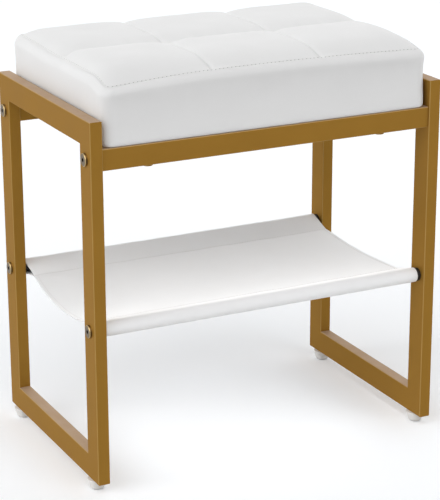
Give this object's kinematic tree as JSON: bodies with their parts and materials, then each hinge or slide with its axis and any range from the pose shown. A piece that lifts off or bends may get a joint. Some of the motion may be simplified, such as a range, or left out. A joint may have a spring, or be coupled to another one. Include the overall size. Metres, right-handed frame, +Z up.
{
  "type": "vanity stool",
  "caption": "Low rectangular stool with a tufted box cushion between two flat-tube loop legs, a fabric sling shelf below, and screw-in levelling feet.",
  "frame": {"origin": "on the floor under the middle of the stool, at the bottom of the four foot pads", "axes": "+Z up, +X to the right along the seat's long side, -Y the front"},
  "size_m": [0.457, 0.28, 0.4964],
  "materials": {
    "frame_gold": "satin gold powder coat",
    "rod_black": "satin black powder coat",
    "bolt_bronze": "bronze-plated steel, satin",
    "plain_steel": "zinc-plated steel",
    "shelf_fabric": "plain-woven white fabric",
    "seat_leather": "white faux leather, fine grain, satin",
    "seat_foam": "open-cell upholstery foam",
    "seat_board": "raw plywood",
    "dust_cloth": "black non-woven cloth",
    "foot_white": "moulded white plastic"
  },
  "bodies": {
    "stool": {"left_front_leg": "frame_gold", "left_rear_leg": "frame_gold", "left_top_bar": "frame_gold", "left_bottom_bar": "frame_gold", "right_front_leg": "frame_gold", "right_rear_leg": "frame_gold", "right_top_bar": "frame_gold", "right_bottom_bar": "frame_gold", "front_rail": "frame_gold", "rear_rail": "frame_gold", "rail_end_plates": "frame_gold", "front_shelf_rod": "rod_black", "rear_shelf_rod": "rod_black", "rod_end_plugs": "plain_steel", "rail_bolts": "bolt_bronze", "shelf_rod_bolts": "bolt_bronze", "seat_screws": "bolt_bronze", "seat_tee_nuts": "plain_steel", "foot_weld_nuts": "plain_steel", "shelf_sling": "shelf_fabric", "seat_cover": "seat_leather", "seat_foam": "seat_foam", "seat_board": "seat_board", "dust_cover": "dust_cloth"},
    "front_left_foot": {"front_left_foot_pad": "foot_white", "front_left_foot_stud": "plain_steel"},
    "rear_left_foot": {"rear_left_foot_pad": "foot_white", "rear_left_foot_stud": "plain_steel"},
    "front_right_foot": {"front_right_foot_pad": "foot_white", "front_right_foot_stud": "plain_steel"},
    "rear_right_foot": {"rear_right_foot_pad": "foot_white", "rear_right_foot_stud": "plain_steel"}
  },
  "joints": [
    {"name": "front_left_foot_height", "type": "slide", "parent": "stool", "child": "front_left_foot", "axis": [0, 0, -1], "range_m": [0, 0.006]},
    {"name": "rear_left_foot_height", "type": "slide", "parent": "stool", "child": "rear_left_foot", "axis": [0, 0, -1], "range_m": [0, 0.006]},
    {"name": "front_right_foot_height", "type": "slide", "parent": "stool", "child": "front_right_foot", "axis": [0, 0, -1], "range_m": [0, 0.006]},
    {"name": "rear_right_foot_height", "type": "slide", "parent": "stool", "child": "rear_right_foot", "axis": [0, 0, -1], "range_m": [0, 0.006]}
  ]
}
